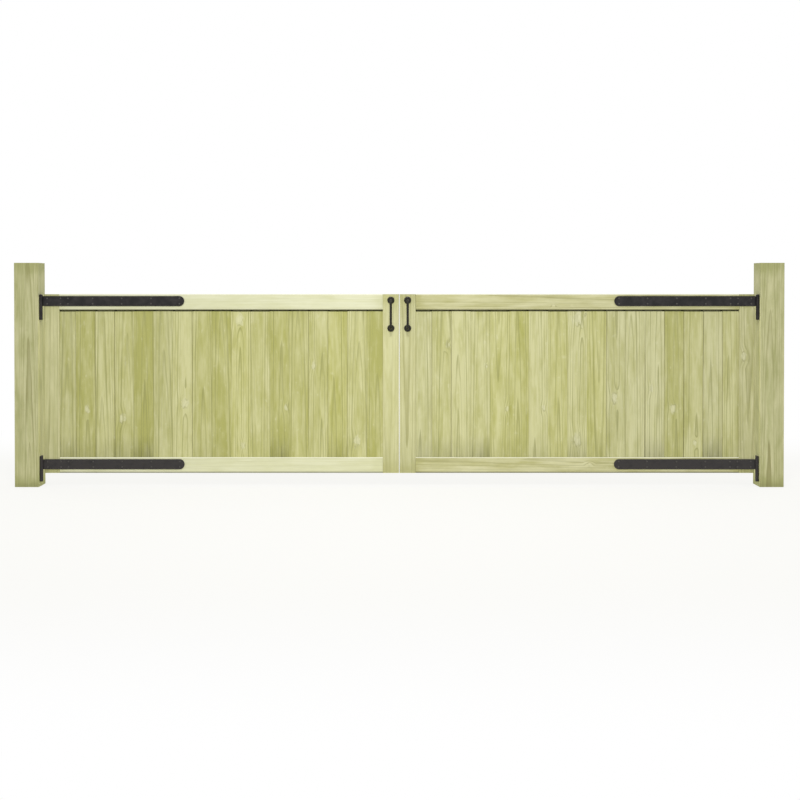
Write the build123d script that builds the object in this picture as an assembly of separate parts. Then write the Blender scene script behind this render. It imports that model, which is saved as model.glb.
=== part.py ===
from build123d import *
import math
import os

# A double garden gate: two framed leaves, filled with tongued and grooved boards, hung on two square posts.
# All sizes are in millimetres. +X runs from the left post to the right one, -Y faces the viewer, +Z is up.
# The origin is the centre of the left post's foot.

# Gateway and posts
gateway_width = 3000
post_side = 100
post_edge_radius = 2
post_rise = 130.5

# Leaf frames, set back a little from the fronts of the posts
leaf_recess = 23
leaf_height = 747
ground_clearance = 55.5
hinge_gap = 18
meeting_gap = 2.5
hinge_stile_width = 63.5
meeting_stile_width = 67.5
rail_width = 65.5
frame_thickness = 28
frame_edge_radius = 3

# The groove round the inside of a frame, with the boards and the rails' stub tenons in it
panel_groove_depth = 12
panel_groove_clearance = 0.3
tenon_clearance = 0.2
tenon_end_clearance = 1
board_side_clearance = 2
board_top_clearance = 3

# Boards, set out from the middle of a leaf, so the outer two are cut alike
board_thickness = 16
board_cover = 81
board_joint_gap = 0.6
board_chamfer = 1
tongue_length = 6
tongue_thickness = 5
tongue_clearance = 0.3

# T-hinges: one long strap on a rail, one upright plate on the post, and a pin through their knuckles
hinge_sheet = 3
hinge_pin_diameter = 8
hinge_pin_clearance = 0.08
knuckle_clearance = 0.5
strap_length = 596
strap_width = 42
strap_rise = 4
strap_screw_shares = (0.041, 0.135, 0.187, 0.36, 0.563, 0.768, 0.967)
strap_screw_row_share = 0.27
plate_width = 40
plate_height = 104
upper_plate_rise = 27
lower_plate_rise = 33.5
plate_corner_radius = 4
plate_screw_across_shares = (0.38, 0.72)
plate_screw_up_shares = (0.1, 0.34, 0.9)
screw_hole_diameter = 4.5
pin_head_overhang = 1.5
pin_head_height = 1.5

# Pull handles on the meeting stiles: a bent round bar between two round roses
handle_bar_diameter = 10
handle_spacing = 117
handle_standoff = 38
handle_bend_radius = 14
handle_drop = 25
rose_diameter = 30
rose_thickness = 6
rose_edge_radius = 5

# Lines that the pieces share
post_inner = post_side / 2
gate_centre = post_inner + gateway_width / 2
leaf_front = leaf_recess - post_side / 2
leaf_middle = leaf_front + frame_thickness / 2
leaf_start = post_inner + hinge_gap
leaf_end = gate_centre - meeting_gap / 2
leaf_bottom = ground_clearance
leaf_top = leaf_bottom + leaf_height
post_height = leaf_top + post_rise

panel_start = leaf_start + hinge_stile_width
panel_end = leaf_end - meeting_stile_width
panel_width = panel_end - panel_start
panel_groove_width = board_thickness + 2 * panel_groove_clearance
bottom_rail_middle = leaf_bottom + rail_width / 2
top_rail_middle = leaf_top - rail_width / 2

hinge_bore_radius = hinge_pin_diameter / 2 + hinge_pin_clearance
knuckle_radius = hinge_bore_radius + hinge_sheet
hinge_x = post_inner + knuckle_radius
hinge_y = leaf_front - knuckle_radius
upper_strap_middle = top_rail_middle + strap_rise
lower_strap_middle = bottom_rail_middle + strap_rise

handle_x = leaf_end - meeting_stile_width / 2
handle_top = leaf_top - handle_drop
handle_bottom = handle_top - handle_spacing


def gate_post():
    """A square post with eased edges, sawn off flat at the top."""
    return extrude(RectangleRounded(post_side, post_side, post_edge_radius), post_height)


def leaf_stile(start, end, inward):
    """A full-height stile. Its groove faces inward: 1 towards +X, -1 towards -X."""
    width = end - start
    timber = RectangleRounded(width, frame_thickness, frame_edge_radius)
    groove_middle = inward * (width - panel_groove_depth) / 2
    groove = Pos(groove_middle, 0) * Rectangle(panel_groove_depth, panel_groove_width)
    return Pos((start + end) / 2, leaf_middle, leaf_bottom) * extrude(timber - groove, leaf_height)


def leaf_rail(middle, inward):
    """A rail between the stiles, with stub tenons in their grooves. Its own groove faces inward, up or down."""
    timber = RectangleRounded(frame_thickness, rail_width, frame_edge_radius)
    groove_middle = inward * (rail_width - panel_groove_depth) / 2
    groove = Pos(0, groove_middle) * Rectangle(panel_groove_width, panel_groove_depth)
    rail = extrude(Plane.YZ * (timber - groove), panel_width / 2, both=True)
    tenon_reach = panel_width + 2 * (panel_groove_depth - tenon_end_clearance)
    tenon_thickness = panel_groove_width - 2 * tenon_clearance
    tenon_height = rail_width - panel_groove_depth
    tenons = Pos(0, 0, -inward * panel_groove_depth / 2) * Box(tenon_reach, tenon_thickness, tenon_height)
    return Pos((panel_start + panel_end) / 2, leaf_middle, middle) * (rail + tenons)


def panel_board(start, end, grooved, tongued):
    """One board: its jointed edges have a V on both faces, and a groove, a tongue or both."""
    section = Pos((start + end) / 2, 0) * Rectangle(end - start, board_thickness)
    corners = section.vertices().sort_by(Axis.X)
    jointed = (corners[:2] if grooved else []) + (corners[2:] if tongued else [])
    section = chamfer(jointed, board_chamfer)
    if grooved:
        groove_depth = tongue_length + tongue_clearance
        groove_width = tongue_thickness + 2 * tongue_clearance
        section -= Pos(start + groove_depth / 2, 0) * Rectangle(groove_depth, groove_width)
    if tongued:
        section += Pos(end + tongue_length / 2, 0) * Rectangle(tongue_length, tongue_thickness)
    foot = leaf_bottom + rail_width - panel_groove_depth
    head = leaf_top - rail_width + panel_groove_depth - board_top_clearance
    return Pos(0, leaf_middle, foot) * extrude(section, head - foot)


def panel_boards():
    """The boards of a leaf, standing in the bottom rail's groove, side by side from stile to stile."""
    count = math.ceil(panel_width / board_cover)
    side_seat = panel_groove_depth - board_side_clearance
    layout_start = (panel_start + panel_end - count * board_cover) / 2
    boards = []
    for place in range(count):
        first = place == 0
        last = place == count - 1
        joint = layout_start + place * board_cover
        start = panel_start - side_seat if first else joint + board_joint_gap / 2
        end = panel_end + side_seat if last else joint + board_cover - board_joint_gap / 2
        boards.append(panel_board(start, end, not first, not last))
    return Compound(boards)


def rolled_sheet(reach):
    """Section of a hinge leaf: sheet along +X that rolls into a closed eye about the pin at the origin."""
    bore = knuckle_radius - hinge_sheet
    root = math.sqrt(knuckle_radius**2 - bore**2)
    outline = [
        Line((reach, knuckle_radius), (0, knuckle_radius)),
        ThreePointArc((0, knuckle_radius), (-knuckle_radius, 0), (0, -knuckle_radius)),
        TangentArc((0, -knuckle_radius), (root, bore), tangent=(1, 0)),
        Line((root, bore), (reach, bore)),
        Line((reach, bore), (reach, knuckle_radius)),
    ]
    return make_face(outline) - Circle(bore)


def hinge_strap(middle):
    """The long strap of a T-hinge, round at its tip, with its screw holes in pairs."""
    rolled = extrude(rolled_sheet(strap_length), strap_width / 2, both=True)
    straight = strap_length - strap_width / 2
    back = -knuckle_radius
    outline = Pos((straight + back) / 2, 0) * Rectangle(straight - back, strap_width)
    outline += Pos(straight, 0) * Circle(strap_width / 2)
    for share in strap_screw_shares:
        for row in (-strap_screw_row_share, strap_screw_row_share):
            outline -= Pos(share * strap_length, row * strap_width) * Circle(screw_hole_diameter / 2)
    blank = extrude(Plane.XZ * outline, knuckle_radius, both=True)
    return Pos(hinge_x, hinge_y, middle) * (rolled & blank)


def hinge_plate(strap_middle, plate_rise):
    """The upright plate of a T-hinge, back along the post's inner face, notched round the strap's knuckle."""
    section = Rot(0, 0, 90) * rolled_sheet(plate_width)
    foot = plate_rise - plate_height
    plate = Pos(0, 0, foot) * extrude(section, plate_height)
    plate = fillet(plate.edges().filter_by(Axis.X).group_by(Axis.Y)[-1], plate_corner_radius)
    notch_side = 2 * (knuckle_radius + knuckle_clearance)
    plate -= Box(notch_side, notch_side, strap_width + 2 * knuckle_clearance)
    for across in plate_screw_across_shares:
        for up in plate_screw_up_shares:
            hole = Cylinder(screw_hole_diameter / 2, 2 * knuckle_radius, rotation=(0, 90, 0))
            plate -= Pos(-knuckle_radius, across * plate_width, foot + up * plate_height) * hole
    return Pos(hinge_x, hinge_y, strap_middle) * plate


def hinge_pin(strap_middle, plate_rise):
    """The pin of a T-hinge, peened over to a low dome at both ends."""
    shank = hinge_pin_diameter / 2
    head = shank + pin_head_overhang
    top = plate_rise
    foot = plate_rise - plate_height
    outline = [
        TangentArc((0, foot - pin_head_height), (head, foot), tangent=(1, 0)),
        Polyline((head, foot), (shank, foot), (shank, top), (head, top)),
        TangentArc((0, top + pin_head_height), (head, top), tangent=(1, 0)),
        Line((0, top + pin_head_height), (0, foot - pin_head_height)),
    ]
    return Pos(hinge_x, hinge_y, strap_middle) * revolve(Plane.XZ * make_face(outline), Axis.Z)


def handle_bar():
    """The bar of a pull handle, bent out from one rose and back to the other."""
    rose_face = leaf_front - rose_thickness
    bar_line = leaf_front - handle_standoff
    route = FilletPolyline(
        (handle_x, rose_face, handle_bottom),
        (handle_x, bar_line, handle_bottom),
        (handle_x, bar_line, handle_top),
        (handle_x, rose_face, handle_top),
        radius=handle_bend_radius,
    )
    end = Plane(origin=(handle_x, rose_face, handle_bottom), z_dir=(0, -1, 0))
    return sweep(end * Circle(handle_bar_diameter / 2), path=route)


def handle_rose(middle):
    """A round rose against the stile, with its edge rolled well over. The bar is bolted through it from behind."""
    disc = Cylinder(rose_diameter / 2, rose_thickness, align=(Align.CENTER, Align.CENTER, Align.MIN))
    disc = fillet(disc.edges().group_by(Axis.Z)[-1], rose_edge_radius)
    return Pos(handle_x, leaf_front, middle) * (Rot(90, 0, 0) * disc)


def left_half():
    """Every piece to the left of the gate's centre line, by its name without the side."""
    return {
        "post": gate_post(),
        "upper_hinge_plate": hinge_plate(upper_strap_middle, upper_plate_rise),
        "lower_hinge_plate": hinge_plate(lower_strap_middle, lower_plate_rise),
        "upper_hinge_pin": hinge_pin(upper_strap_middle, upper_plate_rise),
        "lower_hinge_pin": hinge_pin(lower_strap_middle, lower_plate_rise),
        "upper_hinge_strap": hinge_strap(upper_strap_middle),
        "lower_hinge_strap": hinge_strap(lower_strap_middle),
        "hinge_stile": leaf_stile(leaf_start, panel_start, 1),
        "meeting_stile": leaf_stile(panel_end, leaf_end, -1),
        "top_rail": leaf_rail(top_rail_middle, -1),
        "bottom_rail": leaf_rail(bottom_rail_middle, 1),
        "boards": panel_boards(),
        "handle_bar": handle_bar(),
        "handle_upper_rose": handle_rose(handle_top),
        "handle_lower_rose": handle_rose(handle_bottom),
    }


os.makedirs("parts", exist_ok=True)
centre_plane = Plane.YZ.offset(gate_centre)
for name, piece in left_half().items():
    export_step(piece, f"parts/left_{name}.step")
    export_step(mirror(piece, about=centre_plane), f"parts/right_{name}.step")
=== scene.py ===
import math
import random

import bpy
from mathutils import Euler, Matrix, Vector


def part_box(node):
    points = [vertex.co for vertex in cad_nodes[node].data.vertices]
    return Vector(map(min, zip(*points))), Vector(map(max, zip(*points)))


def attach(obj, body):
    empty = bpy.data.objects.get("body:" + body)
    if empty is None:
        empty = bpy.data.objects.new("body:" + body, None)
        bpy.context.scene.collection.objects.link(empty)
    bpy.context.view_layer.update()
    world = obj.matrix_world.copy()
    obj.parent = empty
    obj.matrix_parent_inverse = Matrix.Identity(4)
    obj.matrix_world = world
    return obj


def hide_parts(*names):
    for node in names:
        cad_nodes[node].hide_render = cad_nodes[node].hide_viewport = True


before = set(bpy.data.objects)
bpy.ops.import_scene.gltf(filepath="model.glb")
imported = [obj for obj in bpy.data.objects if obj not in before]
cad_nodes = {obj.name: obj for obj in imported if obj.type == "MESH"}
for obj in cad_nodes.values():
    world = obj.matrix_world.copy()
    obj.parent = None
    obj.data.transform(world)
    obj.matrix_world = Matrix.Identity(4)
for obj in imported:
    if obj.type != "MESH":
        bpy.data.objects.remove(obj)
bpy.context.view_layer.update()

# Sizes are in millimetres, apart from a node's box, the studio and the camera, which are in
# metres. MM is a millimetre in metres, and M a metre in millimetres.
MM = 0.001
M = 1000
SIDES = ("left", "right")
LEVELS = ("upper", "lower")
INWARD = {"left": 1, "right": -1}
gate_centre = M / 2 * (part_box("left_post")[0].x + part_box("right_post")[1].x)
leaf_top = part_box("left_top_rail")[1].z

# Settings that the materials use many times, and the sockets for a mix of two colours
SOFT = {"interpolation_type": "SMOOTHSTEP"}
COLOURS = {"data_type": "RGBA"}
PLUS = {"operation": "ADD"}
MINUS = {"operation": "SUBTRACT"}
TIMES = {"operation": "MULTIPLY"}
TIMES_PLUS = {"operation": "MULTIPLY_ADD"}
GREATER = {"operation": "MAXIMUM"}
SIZE = {"operation": "ABSOLUTE"}
FRACTION = {"operation": "FRACT"}
LENGTH = {"operation": "LENGTH"}
DOT = {"operation": "DOT_PRODUCT"}
SHARE, FIRST, SECOND = 0, 6, 7


def linear(colour):
    """An sRGB hex colour as linear red, green, blue and full cover."""
    parts = [int(colour[i:i + 2], 16) / 255 for i in (1, 3, 5)]
    return [c / 12.92 if c <= 0.04045 else ((c + 0.055) / 1.055) ** 2.4 for c in parts] + [1]


def add(tree, kind, settings, inputs):
    """Adds one node, with its settings and with each input set to a value or linked to an output.

    A node that is given for an input stands for the first output that it has in use.
    """
    node = tree.nodes.new("ShaderNode" + kind)
    for name, value in settings.items():
        setattr(node, name, value)
    for socket, value in inputs.items():
        if isinstance(value, bpy.types.Node):
            value = next(output for output in value.outputs if output.enabled)
        if isinstance(value, bpy.types.NodeSocket):
            tree.links.new(value, node.inputs[socket])
        else:
            node.inputs[socket].default_value = value
    return node


def new_material(name):
    """An empty material that is drawn by nodes, with its node tree."""
    material = bpy.data.materials.new(name)
    material.use_nodes = True
    material.node_tree.nodes.clear()
    return material, material.node_tree


# Pine's patterns, with their sizes across the grain and along it. Growth rings are 2 to 5 mm wide;
# they are drawn a little wider, so that single ones show, and wander over some 400 mm of length.
# Fibres are under 0.1 mm wide, too fine to show, so they are drawn as bundles of 2 mm. Salts take
# unevenly, in long soft patches a third to a half of a board wide, with blotches and wisps in them.
ring_wander = (70, 460)
fibre_bundle = (2.2, 130)
streak = (8, 420)
salt_patch = (28, 180)
salt_wisp = (9, 75)
blotch = (16, 30)

# How far the rings wander, how fast their width changes and by how many years, the softest year's
# late wood, and the parts of a year in which late wood comes and goes
ring_wander_reach = 3.5
year_change = 0.31
year_spread = 2.4
softest_year = 0.15
late_wood_comes = (0.5, 0.93)
late_wood_goes = (0.94, 1)

# Knots push the rings outwards and are drawn out along the grain. Their reach, raggedness, edge
# and rings are in knot radii.
knot_push = 7
knot_push_reach = 3
knot_stretch = 0.62
knot_ragged = 2.2
knot_edge = (0.45, 1.25)
knot_rings_in_radius = 1.7
knot_ring_strength = 0.22
knot_rim_strength = 1.4
knot_cover = 0.8

# How strongly the other marks show
salt_range = (0.15, 0.85)
mottle_strength = 0.07
wisp_strength = 0.16
ring_line_strength = (0.35, 0.9)
fleck_cover = 0.4
streak_depth = 0.03
fibre_depth = 0.035

# Where in its pattern, from 0 to 1, a mark begins and where it is full
pattern_middle = (0.5, 0.5, 0.5)
knot_rim_span = (0.45, 0.6)
knot_ring_span = (0.55, 0.95)
salt_span = (0.28, 0.72)
mottle_span = (0.3, 0.7)
wisp_span = (0.3, 0.7)
ring_line_span = (0.35, 0.62)
fleck_span = (0.62, 0.8)
depth_span = (0.25, 0.75)

# Weather, painted shade and painted light: how far from a timber's end it soaks up more salts, and
# how much more, how dark end grain, the painted shade on undersides, and damp board feet with the
# painted shade in the gap at the boards' heads are, how much lighter a post's side face is painted
# and how sharply that ends, in metres, and how much of the painted highlight on an upper arris a
# flat top has
end_soak = 70
end_salts = 0.65
end_grain_shade = 0.82
underside_painted_shade = 0.6
damp_and_gap_shade = 0.45
side_painted_light_gain = 1.42
side_painted_light_edge = 0.02
arris_highlight_colour = "#f3f2dc"
flat_top_highlight_share = 0.4

# How far a face has turned along the grain, upwards or to the leaf where its end-grain shade,
# painted shade, painted light and painted highlight begin and where they are full
end_facing = (0.6, 0.9)
underside_facing = (-0.7, -0.1)
leaf_facing = (0.4, 0.9)
arris_facing = (0, 0.35)
flat_top_facing = (0.9, 1)

# The planed face: how dull early and late wood are, and how far late wood and fibres stand proud
early_wood_roughness = 0.76
late_wood_roughness = 0.62
pine_ior = 1.45
face_relief = 0.2
face_relief_strength = 0.5
fibre_relief = 0.8


def pattern_scale(size):
    """A pattern's scale from its size in millimetres: across the grain, in depth and along it."""
    width, length = size
    return (1 / width, 1 / width, 1 / length)


def growth_round_knots(tree, from_knots, heart_distance, blotches):
    """Distances from the heart as knots swell the rings, the knots' wood, and their lines.

    A knot is a soft ragged patch, with faint rings of its own and a darker rim part of the way
    round. from_knots are the ways from each knot's middle, in knot radii.
    """
    stray = add(tree, "VectorMath", MINUS, {0: blotches.outputs["Color"], 1: pattern_middle})
    part_way = add(tree, "MapRange", SOFT,
                   {"Value": blotches, "From Min": knot_rim_span[0], "From Max": knot_rim_span[1],
                    "To Max": knot_rim_strength})
    knot_wood = knot_lines = None
    for from_knot in from_knots:
        away = add(tree, "VectorMath", LENGTH, {0: from_knot})
        swell = add(tree, "MapRange", SOFT, {"Value": away, "From Max": knot_push_reach,
                                             "To Min": knot_push, "To Max": 0})
        heart_distance = add(tree, "Math", PLUS, {0: heart_distance, 1: swell})
        ragged = add(tree, "VectorMath", TIMES_PLUS,
                     {0: stray, 1: (knot_ragged, 0, knot_ragged), 2: from_knot})
        away = add(tree, "VectorMath", LENGTH, {0: ragged})
        inside = add(tree, "MapRange", SOFT,
                     {"Value": away, "From Min": knot_edge[0], "From Max": knot_edge[1],
                      "To Min": 1, "To Max": 0})
        lines = add(tree, "Math", TIMES, {0: away, 1: knot_rings_in_radius})
        lines = add(tree, "Math", FRACTION, {0: lines})
        lines = add(tree, "MapRange", SOFT,
                    {"Value": lines, "From Min": knot_ring_span[0], "From Max": knot_ring_span[1],
                     "To Max": knot_ring_strength})
        lines = add(tree, "Math", TIMES, {0: lines, 1: inside})
        rim = add(tree, "Math", {"operation": "PINGPONG"}, {0: inside, 1: 0.5})
        rim = add(tree, "Math", TIMES, {0: rim, 1: part_way})
        lines = add(tree, "Math", GREATER, {0: lines, 1: rim})
        if knot_wood is None:
            knot_wood, knot_lines = inside, lines
        else:
            knot_wood = add(tree, "Math", GREATER, {0: knot_wood, 1: inside})
            knot_lines = add(tree, "Math", GREATER, {0: knot_lines, 1: lines})
    return heart_distance, knot_wood, knot_lines


def late_wood_of_rings(tree, heart_distance, ring_width):
    """How much late wood a point has. Some years grow wider rings than others, and some harder."""
    years = add(tree, "Math", {"operation": "DIVIDE"}, {0: heart_distance, 1: ring_width})
    uneven = add(tree, "Math", TIMES, {0: years, 1: year_change})
    uneven = add(tree, "TexNoise", {"noise_dimensions": "1D"},
                 {"W": uneven, "Scale": 1, "Detail": 1})
    years = add(tree, "Math", TIMES_PLUS, {0: uneven, 1: year_spread, 2: years})
    year = add(tree, "Math", {"operation": "FLOOR"}, {0: years})
    year = add(tree, "TexWhiteNoise", {"noise_dimensions": "1D"}, {"W": year})
    hardness = add(tree, "MapRange", {}, {"Value": year, "To Min": softest_year, "To Max": 1})
    season = add(tree, "Math", FRACTION, {0: years})
    comes = add(tree, "MapRange", SOFT, {"Value": season, "From Min": late_wood_comes[0],
                                         "From Max": late_wood_comes[1]})
    goes = add(tree, "MapRange", SOFT, {"Value": season, "From Min": late_wood_goes[0],
                                        "From Max": late_wood_goes[1], "To Min": 1, "To Max": 0})
    late_wood = add(tree, "Math", TIMES, {0: comes, 1: goes})
    return add(tree, "Math", TIMES, {0: late_wood, 1: hardness})


def paleness_from_salts(tree, place, bent, blotches, own):
    """How pale the salts left a point, in patches, mottles and wisps, on top of its own tone."""
    patches = add(tree, "VectorMath", TIMES, {0: place, 1: pattern_scale(salt_patch)})
    patches = add(tree, "TexNoise", {}, {"Vector": patches, "Scale": 1, "Detail": 2,
                                         "Roughness": 0.45, "Distortion": 0.6})
    pale = add(tree, "MapRange", {},
               {"Value": patches, "From Min": salt_span[0], "From Max": salt_span[1],
                "To Min": salt_range[0], "To Max": salt_range[1]})
    mottle = add(tree, "MapRange", {},
                 {"Value": blotches, "From Min": mottle_span[0], "From Max": mottle_span[1],
                  "To Min": -mottle_strength, "To Max": mottle_strength})
    wisps = add(tree, "VectorMath", TIMES, {0: bent, 1: pattern_scale(salt_wisp)})
    wisps = add(tree, "TexNoise", {}, {"Vector": wisps, "Scale": 1, "Detail": 2})
    wisps = add(tree, "MapRange", {},
                {"Value": wisps, "From Min": wisp_span[0], "From Max": wisp_span[1],
                 "To Min": -wisp_strength, "To Max": wisp_strength})
    for change in (mottle, wisps, own):
        pale = add(tree, "Math", PLUS, {0: pale, 1: change})
    return pale


def impregnated_pine(tree, place, from_knots, tone, colours, ring_width):
    """Planed Baltic pine, pressure impregnated with copper salts.

    Where the salts went in well the wood is a deep olive, and elsewhere a paler greenish beige,
    with long soft edges between. The hard late wood of each ring shows as a fine darker line that
    fades in and out, and rises to a narrow arch where the saw ran along the log's side. The rings
    bend round the knots.
    place is where each point grew, in millimetres: x and y across the rings, z along the heart.
    colours are the deep and pale wood, the rings' lines and the knots. Gives the wood's colour, its
    depth of shade, late wood, fibres and streaks.
    """
    deep, pale, line, knot = [linear(colour) for colour in colours]
    blotches = add(tree, "VectorMath", TIMES, {0: place, 1: pattern_scale(blotch)})
    blotches = add(tree, "TexNoise", {}, {"Vector": blotches, "Scale": 1, "Detail": 3})

    # Rings wander along the trunk, and swell round the knots
    wander = add(tree, "VectorMath", TIMES, {0: place, 1: pattern_scale(ring_wander)})
    wander = add(tree, "TexNoise", {}, {"Vector": wander, "Scale": 1, "Detail": 3,
                                        "Roughness": 0.55})
    wander = add(tree, "VectorMath", MINUS, {0: wander.outputs["Color"], 1: pattern_middle})
    reach = 2 * ring_wander_reach
    bent = add(tree, "VectorMath", TIMES_PLUS, {0: wander, 1: (reach, reach, 0), 2: place})
    across = add(tree, "VectorMath", TIMES, {0: bent, 1: (1, 1, 0)})
    heart_distance = add(tree, "VectorMath", LENGTH, {0: across})
    if from_knots:
        heart_distance, knot_wood, knot_lines = growth_round_knots(
            tree, from_knots, heart_distance, blotches)
    late_wood = late_wood_of_rings(tree, heart_distance, ring_width)

    # The rings' lines fade in and out with the streaks along the timber
    fibres = add(tree, "VectorMath", TIMES, {0: bent, 1: pattern_scale(fibre_bundle)})
    fibres = add(tree, "TexNoise", {}, {"Vector": fibres, "Scale": 1, "Detail": 2})
    streaks = add(tree, "VectorMath", TIMES, {0: bent, 1: pattern_scale(streak)})
    streaks = add(tree, "TexNoise", {}, {"Vector": streaks, "Scale": 1, "Detail": 2})
    fade = add(tree, "MapRange", SOFT,
               {"Value": streaks, "From Min": ring_line_span[0], "From Max": ring_line_span[1],
                "To Min": ring_line_strength[0], "To Max": ring_line_strength[1]})
    lines = add(tree, "Math", TIMES, {0: late_wood, 1: fade})

    # Colours
    salts = paleness_from_salts(tree, place, bent, blotches, tone)
    wood = add(tree, "Mix", COLOURS, {SHARE: salts, FIRST: deep, SECOND: pale})
    if from_knots:
        covered = add(tree, "Math", TIMES, {0: knot_wood, 1: knot_cover})
        wood = add(tree, "Mix", COLOURS, {SHARE: covered, FIRST: wood, SECOND: knot})
        lines = add(tree, "Math", GREATER, {0: lines, 1: knot_lines})
    flecks = add(tree, "MapRange", SOFT,
                 {"Value": blotches, "From Min": fleck_span[0], "From Max": fleck_span[1],
                  "To Max": fleck_cover})
    wood = add(tree, "Mix", COLOURS, {SHARE: flecks, FIRST: wood, SECOND: knot})
    wood = add(tree, "Mix", COLOURS, {SHARE: lines, FIRST: wood, SECOND: line})
    depths = []
    for pattern, strength in ((streaks, streak_depth), (fibres, fibre_depth)):
        depths.append(add(tree, "MapRange", {},
                          {"Value": pattern, "From Min": depth_span[0], "From Max": depth_span[1],
                           "To Min": 1 - strength, "To Max": 1 + strength}))
    depth = add(tree, "Math", TIMES, {0: depths[0], 1: depths[1]})
    return wood, depth, late_wood, fibres, streaks


def planed_face(tree, wood, late_wood, fibres):
    """The dull, slightly fuzzy face that planing leaves.

    Late wood is denser, so it is a little smoother and stands a little proud.
    """
    smooth = add(tree, "MapRange", {}, {"Value": late_wood, "To Min": early_wood_roughness,
                                        "To Max": late_wood_roughness})
    raised = add(tree, "Math", TIMES_PLUS, {0: fibres, 1: fibre_relief, 2: late_wood})
    bump = add(tree, "Bump", {}, {"Strength": face_relief_strength, "Distance": face_relief * MM,
                                  "Height": raised})
    skin = add(tree, "BsdfPrincipled", {}, {"Base Color": wood, "Roughness": smooth,
                                            "IOR": pine_ior, "Normal": bump})
    add(tree, "OutputMaterial", {}, {"Surface": skin})


def timber_pine(name, colours, ring_width, log, knots, edge_shading, painted_light_side):
    """Impregnated pine of one timber of the frame, weathered.

    Timbers soak up more salts at their ends. Each is painted darker towards its lower edge, as
    painted shade along a rail's lower arris, its undersides get painted shade, and its upper arris
    a painted highlight.
    log is how the timber lay in its log, as in_log gives it, and knots are (across, along, radius)
    there. Its edge shading is how far up from its lower edge a timber is painted darker, how dark
    it is there, and how strong the painted highlight on its upper arris is. Its painted light side
    is the way that a face looks which is painted lighter, as painted light, up to the leaf's top.
    """
    turn, shift, grain, start, half_length, low_edge = log
    lower_darkening_reach, lower_darkening, arris_highlight = edge_shading
    material, tree = new_material(name)
    gate = add(tree, "TexCoord", {}, {})
    place = add(tree, "Mapping", {}, {"Vector": gate.outputs["Object"], "Location": shift,
                                      "Rotation": turn, "Scale": (M, M, M)})
    from_knots = []
    for across, along, radius in knots:
        away = add(tree, "VectorMath", MINUS, {0: place, 1: (across, 0, along)})
        radii = (1 / radius, 0, knot_stretch / radius)
        from_knots.append(add(tree, "VectorMath", TIMES, {0: away, 1: radii}))
    from_middle = add(tree, "SeparateXYZ", {}, {0: place}).outputs["Z"]
    from_middle = add(tree, "Math", MINUS, {0: from_middle, 1: start})
    from_middle = add(tree, "Math", SIZE, {0: from_middle})
    soaked = add(tree, "MapRange", SOFT,
                 {"Value": from_middle, "From Min": half_length - end_soak,
                  "From Max": half_length, "To Max": -end_salts})
    wood, depth, late_wood, fibres, _ = impregnated_pine(
        tree, place, from_knots, soaked, colours, ring_width)

    # End grain, painted shade on undersides, darker towards the lower edge, and painted light on a
    # post's face towards the leaf
    height = add(tree, "SeparateXYZ", {}, {0: gate.outputs["Object"]}).outputs["Z"]
    faces_up = add(tree, "SeparateXYZ", {}, {0: gate.outputs["Normal"]}).outputs["Z"]
    faces_end = add(tree, "VectorMath", DOT, {0: gate.outputs["Normal"], 1: grain})
    faces_end = add(tree, "Math", SIZE, {0: faces_end})
    shades = [
        add(tree, "MapRange", SOFT,
            {"Value": faces_end, "From Min": end_facing[0], "From Max": end_facing[1],
             "To Min": 1, "To Max": end_grain_shade}),
        add(tree, "MapRange", SOFT,
            {"Value": faces_up, "From Min": underside_facing[0], "From Max": underside_facing[1],
             "To Min": underside_painted_shade, "To Max": 1}),
        add(tree, "MapRange", SOFT,
            {"Value": height, "From Min": low_edge, "From Max": low_edge + lower_darkening_reach * MM,
             "To Min": lower_darkening, "To Max": 1}),
    ]
    # A post's face towards its leaf is painted lighter up to the leaf's top, as painted light
    if painted_light_side:
        faces_leaf = add(tree, "VectorMath", DOT, {0: gate.outputs["Normal"], 1: painted_light_side})
        below_top = add(tree, "MapRange", SOFT,
                        {"Value": height, "From Min": leaf_top - side_painted_light_edge,
                         "From Max": leaf_top, "To Min": 1, "To Max": 0})
        side_painted_light = add(tree, "Math", TIMES, {0: faces_leaf, 1: below_top})
        shades.append(add(tree, "MapRange", SOFT,
                          {"Value": side_painted_light, "From Min": leaf_facing[0], "From Max": leaf_facing[1],
                           "To Min": 1, "To Max": side_painted_light_gain}))
    shade = shades[0]
    for other in shades[1:]:
        shade = add(tree, "Math", TIMES, {0: shade, 1: other})
    depth = add(tree, "Math", TIMES, {0: depth, 1: shade})
    wood = add(tree, "HueSaturation", {}, {"Color": wood, "Value": depth})

    # The upper arris gets a painted highlight, and a flat top less
    arris = add(tree, "MapRange", SOFT,
                {"Value": faces_up, "From Min": arris_facing[0], "From Max": arris_facing[1],
                 "To Max": arris_highlight})
    flat = add(tree, "MapRange", SOFT,
               {"Value": faces_up, "From Min": flat_top_facing[0], "From Max": flat_top_facing[1],
                "To Min": 1, "To Max": flat_top_highlight_share})
    painted_highlight = add(tree, "Math", TIMES, {0: arris, 1: flat})
    wood = add(tree, "Mix", COLOURS,
               {SHARE: painted_highlight, FIRST: wood, SECOND: linear(arris_highlight_colour)})
    planed_face(tree, wood, late_wood, fibres)
    return material


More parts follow.
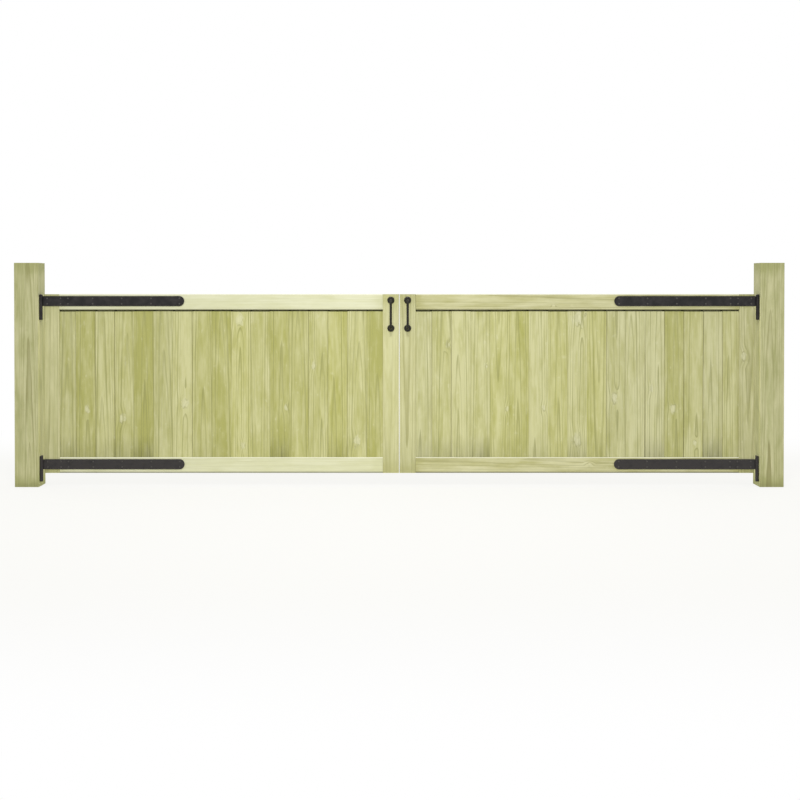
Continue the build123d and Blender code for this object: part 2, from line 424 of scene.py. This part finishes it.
def board_pine(name, colours, ring_width):
    """Impregnated pine of the boards, which carry their places in their logs in their meshes.

    Boards draw water up from the groove they stand in, and the gap at their heads is painted
    darker, as painted shade, through the same damp attribute. Some have greyed, and some are
    greener than the rest.
    """
    material, tree = new_material(name)
    place = add(tree, "Attribute", {"attribute_name": "log"}, {}).outputs["Vector"]
    from_knots = []
    for knot in ("knot_1", "knot_2"):
        from_knots.append(add(tree, "Attribute", {"attribute_name": knot}, {}).outputs["Vector"])
    tone = add(tree, "Attribute", {"attribute_name": "tone"}, {}).outputs["Fac"]
    green = add(tree, "Attribute", {"attribute_name": "green"}, {}).outputs["Fac"]
    damp = add(tree, "Attribute", {"attribute_name": "damp"}, {}).outputs["Fac"]
    wood, depth, late_wood, fibres, streaks = impregnated_pine(
        tree, place, from_knots, tone, colours, ring_width)
    # Damp feet darken the boards, and the gap at their heads gets painted shade
    damp = add(tree, "Math", TIMES, {0: damp, 1: streaks})
    shade = add(tree, "MapRange", {}, {"Value": damp, "To Min": 1, "To Max": damp_and_gap_shade})
    depth = add(tree, "Math", TIMES, {0: depth, 1: shade})
    wood = add(tree, "HueSaturation", {}, {"Color": wood, "Value": depth, "Saturation": green})
    planed_face(tree, wood, late_wood, fibres)
    return material


# Powder coat flows into a faint orange peel of about 1.5 mm, drawn at 3 mm so that it shows, and
# gathers dust in clouds. Up to splash height it is also painted lighter towards the floor, as
# painted light bounced from it, and duller there. Clean coat is glossier than dusty.
coat_peel = 3
coat_peel_depth = 0.1
coat_peel_strength = 0.25
coat_cloud = 35
coat_specular = 0.32
ground_light_height = 450
ground_painted_light = 0.3
dust_and_light_span = (0.35, 0.8)
clean_gloss = 0.15


def powder_coated_steel(name, coat, dusty_and_lit, dullest):
    """Pressed mild steel with a black polyester powder coat, baked on.

    The coat is satin: it takes a soft grey shine from the sky, with a faint orange peel, and looks
    a little dusty in cloudy patches. The lower hinges are painted lighter, as painted light bounced
    from the floor. Hands keep the handles shinier.
    """
    material, tree = new_material(name)
    place = add(tree, "TexCoord", {}, {}).outputs["Object"]
    peel = add(tree, "TexNoise", {},
               {"Vector": place, "Scale": 1 / (coat_peel * MM), "Detail": 1})
    cloud = add(tree, "TexNoise", {}, {"Vector": place, "Scale": 1 / (coat_cloud * MM), "Detail": 4,
                                       "Roughness": 0.65})
    height = add(tree, "SeparateXYZ", {}, {0: place}).outputs["Z"]
    # Painted light, bounced from the floor, lightens the coat towards the ground
    ground_light = add(tree, "MapRange", SOFT,
                 {"Value": height, "From Min": 0, "From Max": ground_light_height * MM,
                  "To Min": ground_painted_light, "To Max": 0})
    dust_and_ground_light = add(tree, "Math", PLUS, {0: cloud, 1: ground_light})
    dust_and_ground_light = add(tree, "MapRange", SOFT,
               {"Value": dust_and_ground_light, "From Min": dust_and_light_span[0], "From Max": dust_and_light_span[1]})
    colour = add(tree, "Mix", COLOURS, {SHARE: dust_and_ground_light, FIRST: linear(coat), SECOND: linear(dusty_and_lit)})
    dull = add(tree, "MapRange", {}, {"Value": dust_and_ground_light, "To Min": dullest - clean_gloss,
                                      "To Max": dullest})
    bump = add(tree, "Bump", {}, {"Strength": coat_peel_strength, "Distance": coat_peel_depth * MM,
                                  "Height": peel})
    skin = add(tree, "BsdfPrincipled", {}, {"Base Color": colour, "Roughness": dull,
                                            "Specular IOR Level": coat_specular, "Normal": bump})
    add(tree, "OutputMaterial", {}, {"Surface": skin})
    return material


# Phosphate's crystals are a few hundredths of a millimetre wide, too fine to show, so they are
# drawn coarser
phosphate_grain = 0.6
phosphate_relief = 0.05
phosphate_relief_strength = 0.2
phosphate_roughness = (0.4, 0.6)


def phosphated_steel(name, dark, light):
    """Hardened screw steel with a grey-black phosphate skin: a crystalline, half-matt metal."""
    material, tree = new_material(name)
    place = add(tree, "TexCoord", {}, {}).outputs["Object"]
    grains = add(tree, "TexVoronoi", {}, {"Vector": place, "Scale": 1 / (phosphate_grain * MM)})
    tint = add(tree, "MapRange", {}, {"Value": grains, "From Max": 1})
    colour = add(tree, "Mix", COLOURS, {SHARE: tint, FIRST: linear(dark), SECOND: linear(light)})
    dull = add(tree, "MapRange", {}, {"Value": tint, "To Min": phosphate_roughness[0],
                                      "To Max": phosphate_roughness[1]})
    bump = add(tree, "Bump", {}, {"Strength": phosphate_relief_strength,
                                  "Distance": phosphate_relief * MM, "Height": tint})
    skin = add(tree, "BsdfPrincipled", {}, {"Base Color": colour, "Metallic": 1,
                                            "Roughness": dull, "Normal": bump})
    add(tree, "OutputMaterial", {}, {"Surface": skin})
    return material


def in_log(node, lies_along, heart, lean, start):
    """How a timber lay in the log that it was sawn from.

    heart is how far the timber's middle is from the log's heart, across and in depth. lean is how
    far it was sawn askew, in degrees, and start how far up the tree, which keeps two timbers apart.
    Gives the turn and shift from the gate to the log, the grain's direction, the start, half the
    timber's length, and the height of its lower edge in metres.
    """
    low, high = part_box(node)
    middle = M / 2 * (low + high)
    upright = lies_along == "Z"
    turn = Euler((0, 0 if upright else math.radians(-90), 0)).to_matrix()
    turn = Euler((math.radians(lean[0]), math.radians(lean[1]), 0)).to_matrix() @ turn
    shift = Vector((*heart, start)) - turn @ middle
    grain = (0, 0, 1) if upright else (1, 0, 0)
    return turn.to_euler(), shift, grain, start, M / 2 * max(high - low), low.z


# Colours of the timbers: deep and pale wood, the rings' lines and the knots. The left leaf's rails
# are the palest sapwood, the posts and the stiles by them are greyer.
post_colours = ("#abad78", "#d4d2a8", "#8f8c5a", "#9a9765")
left_hinge_colours = ("#bcbc88", "#d5d3a7", "#a5a472", "#d9d7b1")
right_hinge_colours = ("#afaf78", "#d4d2a9", "#8c8a58", "#dddcb8")
left_rail_colours = ("#d7d8b2", "#e6e7cb", "#c9c89e", "#dedcb6")
right_rail_colours = ("#b9b781", "#dad8b2", "#96935f", "#dbd9b2")
left_meeting_colours = ("#c5c48c", "#dcdbaf", "#b3b17d", "#dad9b0")
right_meeting_colours = ("#bfbe8a", "#d7d6ab", "#a5a36f", "#d4d3ab")
board_colours = ("#b0b069", "#d1d09e", "#96965c", "#dad9b3")

# Timbers of the frame: the axis that each lies along, its colours, the width of its rings, its
# heart, lean and start in the log, and its knots there
timbers = [
    ("left_post", "Z", post_colours, 5.5, (-10, 79), (-0.9, 0.4), 1000, []),
    ("right_post", "Z", post_colours, 5.5, (10, 84), (-0.8, -0.4), 4000, []),
    ("left_hinge_stile", "Z", left_hinge_colours, 5.5, (30, 90), (0.4, 0.5), 7000, []),
    ("right_hinge_stile", "Z", right_hinge_colours, 6, (-8, 60), (0.7, -0.3), 10000,
     [(-22, 10112, 12)]),
    ("left_meeting_stile", "Z", left_meeting_colours, 5.5, (15, 80), (0.5, 0.3), 13000, []),
    ("right_meeting_stile", "Z", right_meeting_colours, 6, (4, 45), (0.8, 0.3), 16000, []),
    ("left_top_rail", "X", left_rail_colours, 5, (50, 110), (0.3, 0.4), 19000, []),
    ("left_bottom_rail", "X", left_rail_colours, 5, (-45, 120), (0.3, -0.3), 23000, []),
    ("right_top_rail", "X", right_rail_colours, 6, (30, 70), (0.5, 0.3), 27000, [(40, 26900, 5)]),
    ("right_bottom_rail", "X", right_rail_colours, 6, (25, 60), (0.6, -0.2), 31000,
     [(20, 31050, 6)]),
]
board_ring_width = 7

# How far up from its lower edge each kind of timber is painted darker, as painted shade along a
# rail's lower arris, how dark it is there, and how strong the painted highlight on its upper arris
# is; and the way that the posts' faces look which are painted lighter, as painted light
timber_edge_shading = {
    "post": (30, 0.85, 0.2),
    "top_rail": (7, 0.6, 0.5),
    "bottom_rail": (10, 0.4, 0.9),
    "hinge_stile": (250, 0.92, 0.3),
    "meeting_stile": (250, 0.9, 0.3),
}
post_painted_light_side = {"left_post": (1, 0, 0), "right_post": (-1, 0, 0)}

for node, lies_along, colours, ring_width, heart, lean, start, knots in timbers:
    log = in_log(node, lies_along, heart, lean, start)
    kind = node.split("_", 1)[1]
    cad_nodes[node].material_slots[0].material = timber_pine(
        "impregnated_pine_" + node, colours, ring_width, log, knots, timber_edge_shading[kind],
        post_painted_light_side.get(node))

pine_of_boards = board_pine("impregnated_pine_boards", board_colours, board_ring_width)
hinge_coat = powder_coated_steel("black_powder_coat_hinges", "#161415", "#353233", dullest=0.6)
handle_coat = powder_coated_steel("black_powder_coat_handles", "#1b1910", "#27251c", dullest=0.42)
screw_steel = phosphated_steel("phosphated_screw_steel", "#4c4a48", "#63605c")
for side in SIDES:
    for level in LEVELS:
        for kind in ("hinge_plate", "hinge_pin", "hinge_strap"):
            cad_nodes[f"{side}_{level}_{kind}"].material_slots[0].material = hinge_coat
        cad_nodes[f"{side}_handle_{level}_rose"].material_slots[0].material = handle_coat
    cad_nodes[f"{side}_handle_bar"].material_slots[0].material = handle_coat


# Edges that turn by more than this, in degrees, stay sharp
arris_angle = 30


def new_piece(name, points, faces, material):
    """A mesh object from points in millimetres, smooth but for its arrises."""
    mesh = bpy.data.meshes.new(name)
    mesh.from_pydata([Vector(p) * MM for p in points], [], faces)
    mesh.materials.append(material)
    mesh.shade_smooth()
    mesh.set_sharp_from_angle(angle=math.radians(arris_angle))
    piece = bpy.data.objects.new(name, mesh)
    bpy.context.scene.collection.objects.link(piece)
    return piece


def closed_skin(ring_count, corner_count):
    """Faces between rings of points, one above the other, and over both ends."""
    faces = []
    for ring in range(ring_count - 1):
        for corner in range(corner_count):
            a = ring * corner_count + corner
            b = ring * corner_count + (corner + 1) % corner_count
            faces.append((a, b, b + corner_count, a + corner_count))
    faces.append(tuple(reversed(range(corner_count))))
    faces.append(tuple(range((ring_count - 1) * corner_count, ring_count * corner_count)))
    return faces


# Boards, as the part's source has them
board_count = 17
board_cover = 81
board_thickness = 16
board_groove_reach = 10
tongue_length = 6
tongue_thickness = 5
tongue_room = 0.3

# Their joints, the rebates at their heads, and how finely they are cut up along and across
open_joint_chamfer = 1
closed_joint_chamfer = 0.4
closed_joint_gap = (0.1, 0.3)
head_gap = (5.8, 7.2)
head_gap_depth = 12
rebate_step = 0.05
board_stations = 24
board_face_shares = (0, 0.04, 0.2, 0.4, 0.6, 0.8, 0.96, 1)

# What differs from board to board: cup, how far one stands proud, how far its middle was from the
# log's heart, across and in depth, the share that stands upside down, the trunk's taper and the
# saw's lean in degrees, tone, and how damp a foot is. Logs and trees are kept apart by their steps.
most_cup = 0.25
most_proud = 0.3
heart_across = (-20, 20)
heart_deep = (14, 40)
upside_down_share = 0.15
trunk_taper = (0.7, 1.6)
most_lean = 0.5
most_tone = 0.1
foot_damp = (-0.6, 1)
log_step = 3000
tree_step = 100000
trim_seed_step = 100

# How much paler or deeper, greener or greyer the boards below are than the rest, how far damp
# climbs, and how strong the painted shade in the gap at the heads is, carried as damp
tone_step = 0.22
green_step = 0.07
damp_height = 110
head_gap_painted_shade = 3

# Boards that took the salts less or more than the rest, boards that have greyed or are still
# green, boards with wet feet, how far joints have opened at foot and head as the wood dried, and
# the knots, as (across, up, radius) from a board's middle. Boards and joints are counted from the
# hinge stile. A board carries two knots, and one that it doesn't have is put far away.
pale_boards = {"left": (3, 7, 10, 16), "right": (2, 5, 6, 9, 11, 15)}
deep_boards = {"left": (2, 5, 9, 12, 17), "right": (4, 12)}
grey_boards = {"left": (1, 6), "right": (2, 5, 6, 7, 17)}
green_boards = {"left": (10, 15), "right": (8, 10, 12, 13)}
wet_boards = {"left": (5, 12), "right": (2, 5, 14)}
open_joints = {
    "left": {1: (0.6, 0.2), 2: (0.2, 1), 3: (2, 1.6), 7: (0.5, 1.3), 13: (0, 1.5), 14: (1.1, 0.8),
             15: (0.8, 0.3)},
    "right": {1: (1, 0.7), 2: (1.6, 1.1), 3: (1.8, 1), 4: (0.1, 1.1), 5: (4.2, 0), 7: (0.6, 1.1),
              15: (3.2, 1.2), 16: (0.1, 1.4)},
}
knots_of_boards = {
    "left": {2: [(4, -103, 12)], 4: [(-9, -146, 13)], 7: [(8, -80, 16)],
             10: [(-5, 270, 18), (10, -258, 11)], 12: [(27, -98, 9)], 14: [(-18, 78, 11)],
             16: [(0, -237, 16)]},
    "right": {3: [(-8, -247, 8)], 4: [(5, -103, 12)], 5: [(12, -23, 10)], 7: [(6, -60, 15)],
              9: [(-6, 276, 27), (3, -235, 21)], 11: [(-22, -103, 9)], 13: [(-30, -103, 9)],
              14: [(-26, 72, 5)], 16: [(-26, 163, 9)]},
}
no_knot = (5000, 5000, 100)


def joint_gaps(side, chance):
    """How far a leaf's joints are open, at foot and head, and the chamfers that show there."""
    gaps, chamfers = [(0, 0)], [closed_joint_chamfer]
    for joint in range(1, board_count):
        opened = open_joints[side].get(joint, (0, 0))
        gaps.append([more + chance.uniform(*closed_joint_gap) for more in opened])
        chamfers.append(open_joint_chamfer if min(opened) else closed_joint_chamfer)
    return gaps + [(0, 0)], chamfers + [closed_joint_chamfer]


def board_section(left, right, left_chamfer, right_chamfer, cup, grooved, tongued):
    """A board's outline seen from above: (across, depth) pairs, from its left front arris round."""
    half = board_thickness / 2
    tongue = tongue_thickness / 2
    face_left, face_right = left + left_chamfer, right - right_chamfer
    face = []
    for share in board_face_shares:
        hollow = cup * (1 - (2 * share - 1) ** 2)
        face.append((face_left + share * (face_right - face_left), hollow))
    section = [(u, hollow - half) for u, hollow in face] + [(right, right_chamfer - half)]
    if tongued:
        tip = right + tongue_length
        section += [(right, -tongue), (tip, -tongue), (tip, tongue), (right, tongue)]
    section += [(right, half - right_chamfer)]
    section += [(u, hollow + half) for u, hollow in reversed(face)]
    section += [(left, half - left_chamfer)]
    if grooved:
        room = tongue + tongue_room
        floor = left + tongue_length + tongue_room
        section += [(left, room), (floor, room), (floor, -room), (left, -room)]
    return section + [(left, left_chamfer - half)]


def board_rings(left, right, gaps, chamfers, cup, levels, grooved, tongued):
    """A board's outlines from foot to top, as rings of (across, depth, up) points.

    gaps are those of its left and right joint. levels are its foot, the shoulder of the rebate at
    its head, and its top.
    """
    foot, shoulder, top = levels
    heights = [foot + (shoulder - foot) * station / board_stations
               for station in range(board_stations + 1)]
    rings = []
    for up in heights + [shoulder + rebate_step, top]:
        share = (up - foot) / (top - foot)
        open_left, open_right = [(low + share * (high - low)) / 2 for low, high in gaps]
        section = board_section(left + open_left, right - open_right, *chamfers, cup,
                                grooved, tongued)
        if up > shoulder:
            rebate_back = head_gap_depth - board_thickness / 2
            section = [(across, max(deep, rebate_back)) for across, deep in section]
        rings.append([(across, deep, up) for across, deep in section])
    return rings


def panel_boards(side, seed, leaf_tone, leaf_green):
    """The leaf's upright boards, each with its own place in a log, tone, knots and cup.

    Their heads are rebated at the front, none quite like the next, which leaves a gap below the top
    rail that is darkened further with painted shade.
    """
    chance, trim = random.Random(seed), random.Random(seed + trim_seed_step)
    low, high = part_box(side + "_boards")
    stile_low, stile_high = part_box(side + "_hinge_stile")
    foot, top = M * low.z, M * high.z
    depth = M / 2 * (low.y + high.y)
    panel_start = M * (stile_high.x if side == "left" else stile_low.x)
    panel_end = M * (high.x if side == "left" else low.x)
    panel_width = abs(panel_end - panel_start) - board_groove_reach
    layout_start = (panel_width - board_count * board_cover) / 2
    rail_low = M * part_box(side + "_top_rail")[0].z
    gaps, chamfers = joint_gaps(side, chance)
    for index in range(board_count):
        number = index + 1
        first, last = number == 1, number == board_count
        left = -board_groove_reach if first else layout_start + index * board_cover
        right = panel_width + board_groove_reach if last else layout_start + number * board_cover
        shoulder = rail_low - trim.uniform(*head_gap)
        cup = chance.uniform(-most_cup, most_cup)
        proud = chance.uniform(-most_proud, most_proud)
        heart = (chance.uniform(*heart_across), chance.uniform(*heart_deep))
        upside_down = chance.random() < upside_down_share
        taper = math.radians(chance.uniform(*trunk_taper) * (1 if upside_down else -1))
        lean = math.radians(chance.uniform(-most_lean, most_lean))
        turn = Euler((taper, lean, 0)).to_matrix()
        place_in_tree = Vector((*heart, tree_step * seed + log_step * index))
        tone = leaf_tone + chance.uniform(-most_tone, most_tone)
        tone += tone_step * ((number in pale_boards[side]) - (number in deep_boards[side]))
        greener = (number in green_boards[side]) - (number in grey_boards[side])
        green = leaf_green + green_step * greener
        damp = max(0, chance.uniform(*foot_damp)) + (number in wet_boards[side])
        knots = (knots_of_boards[side].get(number, []) + [no_knot, no_knot])[:2]

        rings = board_rings(left, right, gaps[index:index + 2], chamfers[index:index + 2], cup,
                            (foot, shoulder, top), not first, not last)
        middle = Vector(((left + right) / 2, 0, (foot + top) / 2))
        points, places, damps_and_gap_shades, from_knots = [], [], [], ([], [])
        for ring in rings:
            for across, deep, up in ring:
                points.append((panel_start + INWARD[side] * across, depth + deep + proud, up))
                own = Vector((across, deep, up)) - middle
                places.append(turn @ own + place_in_tree)
                climbed = max(0, 1 - (up - foot) / damp_height)
                # The rebated heads get painted shade, carried in the damp attribute
                damps_and_gap_shades.append(head_gap_painted_shade if up > shoulder else damp * climbed)
                for (x, z, radius), ways in zip(knots, from_knots):
                    ways.append(((own.x - x) / radius, 0, (own.z - z) * knot_stretch / radius))
        faces = closed_skin(len(rings), len(rings[0]))
        if INWARD[side] < 0:
            faces = [tuple(reversed(face)) for face in faces]
        piece = new_piece(f"{side}_board_{number:02d}", points, faces, pine_of_boards)
        for name, values in (("log", places), ("knot_1", from_knots[0]), ("knot_2", from_knots[1])):
            attribute = piece.data.attributes.new(name, "FLOAT_VECTOR", "POINT")
            attribute.data.foreach_set("vector", [c for value in values for c in value])
        tones, greens = [tone] * len(points), [green] * len(points)
        for name, values in (("tone", tones), ("green", greens), ("damp", damps_and_gap_shades)):
            attribute = piece.data.attributes.new(name, "FLOAT", "POINT")
            attribute.data.foreach_set("value", values)
        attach(piece, side + "_leaf")
        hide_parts(side + "_boards")


panel_boards("left", seed=3, leaf_tone=0, leaf_green=1)
panel_boards("right", seed=8, leaf_tone=0.1, leaf_green=0.96)


# Hinges, as the part's source has them: where the screws sit along a strap and across it, and
# across a plate and up it, in shares of its size. The seeds are for how far the screws are turned.
hinge_sheet = 3
plate_width = 40
strap_screw_shares = (0.041, 0.135, 0.187, 0.36, 0.563, 0.768, 0.967)
strap_screw_row = 0.27
plate_screw_across = (0.38, 0.72)
plate_screw_up = (0.1, 0.34, 0.9)
strap_screw_seeds = {"left": 9, "right": 10}
plate_screw_seeds = {"left": 13, "right": 15}

# Screw heads: a round dome, as shares of the radius and height, with a cross recess that narrows
# from its rim to its floor. The recess's hub and arms are shares of the radius.
screw_head_diameter = 7.5
screw_head_height = 1.4
screw_segments = 32
screw_head_rings = ((1, 0), (1, 0.25), (0.93, 0.55), (0.78, 0.82), (0.62, 0.95))
recess_arm_count = 4
recess_hub = 0.2
recess_arm = 0.28
recess_rings = ((1, 1), (0.8, 0.35))


def screw_head(centre, out, across, turned):
    """Points of a round screw head with a cross recess, standing on centre and facing out."""
    up = out.cross(across)
    radius = screw_head_diameter / 2
    rings = []
    for share, rise in screw_head_rings:
        rings.append([(share * radius, rise * screw_head_height)] * screw_segments)
    lobes = []
    for segment in range(screw_segments):
        lobe = max(0, math.cos(recess_arm_count * math.tau * segment / screw_segments))
        lobes.append(recess_hub + recess_arm * lobe)
    for narrow, rise in recess_rings:
        rings.append([(narrow * share * radius, rise * screw_head_height) for share in lobes])
    points = []
    for ring in rings:
        for segment, (reach, rise) in enumerate(ring):
            angle = math.tau * segment / screw_segments + turned
            point = centre + out * rise + across * reach * math.cos(angle)
            points.append(point + up * reach * math.sin(angle))
    return points


def screws(name, centres, out, body, seed):
    """One piece of all the screws in a fitting, each driven to its own turn."""
    chance = random.Random(seed)
    across = Vector((0, 0, 1)).cross(out)
    ring_count = len(screw_head_rings) + len(recess_rings)
    points, faces = [], []
    for centre in centres:
        for face in closed_skin(ring_count, screw_segments):
            faces.append(tuple(corner + len(points) for corner in face))
        points += screw_head(Vector(centre), out, across, chance.uniform(0, math.tau))
    piece = new_piece(name, points, faces, screw_steel)
    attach(piece, body)


for side in SIDES:
    leaf_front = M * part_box(f"{side}_top_rail")[0].y
    post_low, post_high = [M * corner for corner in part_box(f"{side}_post")]
    post_face = post_high.x if side == "left" else post_low.x
    for level in LEVELS:
        pin_low, pin_high = [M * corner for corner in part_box(f"{side}_{level}_hinge_pin")]
        pin_x, pin_y = (pin_low.x + pin_high.x) / 2, (pin_low.y + pin_high.y) / 2
        low, high = [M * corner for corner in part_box(f"{side}_{level}_hinge_strap")]
        strap_end = high.x if side == "left" else low.x
        strap_middle, strap_width = (low.z + high.z) / 2, high.z - low.z
        centres = []
        for share in strap_screw_shares:
            for row in (-strap_screw_row, strap_screw_row):
                x = pin_x + share * (strap_end - pin_x)
                centres.append((x, leaf_front - hinge_sheet, strap_middle + row * strap_width))
        screws(f"{side}_{level}_strap_screws", centres, Vector((0, -1, 0)),
               side + "_leaf", strap_screw_seeds[side])
        low, high = [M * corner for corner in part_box(f"{side}_{level}_hinge_plate")]
        plate_face = post_face + INWARD[side] * hinge_sheet
        centres = []
        for share in plate_screw_across:
            for up in plate_screw_up:
                y = pin_y + share * plate_width
                centres.append((plate_face, y, low.z + up * (high.z - low.z)))
        screws(f"{side}_{level}_plate_screws", centres, Vector((INWARD[side], 0, 0)),
               "posts", plate_screw_seeds[side])


# The studio: a pale floor under an even sky, and one soft lamp with a narrow beam, high in front of
# the gate's middle, so the light falls off a little towards the posts. Seen by the camera and in
# the steel, the floor is white, but for the shadows of the gate and its opened leaves, and all
# white beyond the leaves' reach. The beam is in degrees, and the floor's reach in millimetres.
white = "#ffffff"
floor_paint = "#f6f3e0"
floor_reach = 9000
floor_below_gate = 0.2
sky_strength = 0.78
floor_glow = 0.82
shadow_middle = -0.6
shadow_fades_across = (1.7, 2.8)
shadow_fades_deep = (1, 2.4)
lamp_aim_height = 0.8
lamp_away = (0, -3.4, 3.2)
lamp_size = 0.9
lamp_beam = 70
lamp_power = 13


def seen(tree):
    """1 for what is looked at, straight, in a shine or through glass, and 0 for other light."""
    ray = add(tree, "LightPath", {}, {}).outputs
    looked_at = add(tree, "Math", GREATER, {0: ray["Is Camera Ray"], 1: ray["Is Glossy Ray"]})
    return add(tree, "Math", GREATER, {0: looked_at, 1: ray["Is Transmission Ray"]})


def studio_sky():
    """An even sky, white where it is looked at."""
    world = bpy.data.worlds.new("white_studio")
    bpy.context.scene.world = world
    world.use_nodes = True
    tree = world.node_tree
    tree.nodes.clear()
    strength = add(tree, "MapRange", {}, {"Value": seen(tree), "To Min": sky_strength, "To Max": 1})
    sky = add(tree, "Background", {}, {"Color": linear(white), "Strength": strength})
    add(tree, "OutputWorld", {}, {"Surface": sky})


def studio_floor():
    """A painted floor, which shows white where no shadow of the gate can fall."""
    material, tree = new_material("white_studio_floor")
    place = add(tree, "TexCoord", {}, {}).outputs["Object"]
    away = add(tree, "VectorMath", MINUS, {0: place, 1: (gate_centre * MM, shadow_middle, 0)})
    away = add(tree, "VectorMath", SIZE, {0: away})
    away = add(tree, "SeparateXYZ", {}, {0: away}).outputs
    fades = []
    for axis, (near, far) in (("X", shadow_fades_across), ("Y", shadow_fades_deep)):
        fades.append(add(tree, "MapRange", SOFT, {"Value": away[axis], "From Min": near,
                                                  "From Max": far, "To Min": floor_glow,
                                                  "To Max": 1}))
    glow = add(tree, "Math", GREATER, {0: fades[0], 1: fades[1]})
    glow = add(tree, "Math", TIMES, {0: seen(tree), 1: glow})
    paint = add(tree, "BsdfDiffuse", {}, {"Color": linear(floor_paint)})
    shine = add(tree, "Emission", {}, {"Color": linear(white), "Strength": 1})
    mixed = add(tree, "MixShader", {}, {0: glow, 1: paint, 2: shine})
    add(tree, "OutputMaterial", {}, {"Surface": mixed})
    corners = [(gate_centre + x * floor_reach, y * floor_reach, -floor_below_gate)
               for x, y in ((-1, -1), (1, -1), (1, 1), (-1, 1))]
    floor = new_piece("studio_floor", corners, [(0, 1, 2, 3)], material)


def studio_lamp():
    """A round lamp that is aimed at the gate's middle."""
    lamp = bpy.data.lights.new("high_lamp", "AREA")
    lamp.shape = "DISK"
    lamp.size = lamp_size
    lamp.spread = math.radians(lamp_beam)
    lamp.energy = lamp_power
    holder = bpy.data.objects.new("high_lamp", lamp)
    bpy.context.scene.collection.objects.link(holder)
    holder.location = Vector((gate_centre * MM, 0, lamp_aim_height)) + Vector(lamp_away)
    holder.rotation_euler = (-Vector(lamp_away)).to_track_quat("-Z", "Y").to_euler()


studio_sky()
studio_floor()
studio_lamp()

# The camera, in front of the gate's middle: its distance and height, how far it looks down in
# degrees, and its lens and sensor in millimetres, with the lens's shift in widths of the picture
camera_distance = 5.2084
camera_height = 0.835
camera_dip = 0.785
lens_length = 55.9
sensor_width = 36
lens_shift = (0.000925, -0.1207)

lens = bpy.data.cameras.new("camera")
lens.lens = lens_length
lens.sensor_width = sensor_width
lens.shift_x, lens.shift_y = lens_shift
camera = bpy.data.objects.new("camera", lens)
bpy.context.scene.collection.objects.link(camera)
camera.location = (gate_centre * MM, -camera_distance, camera_height)
camera.rotation_euler = (math.radians(90 - camera_dip), 0, 0)
bpy.context.scene.camera = camera
bpy.context.scene.view_settings.view_transform = "Standard"
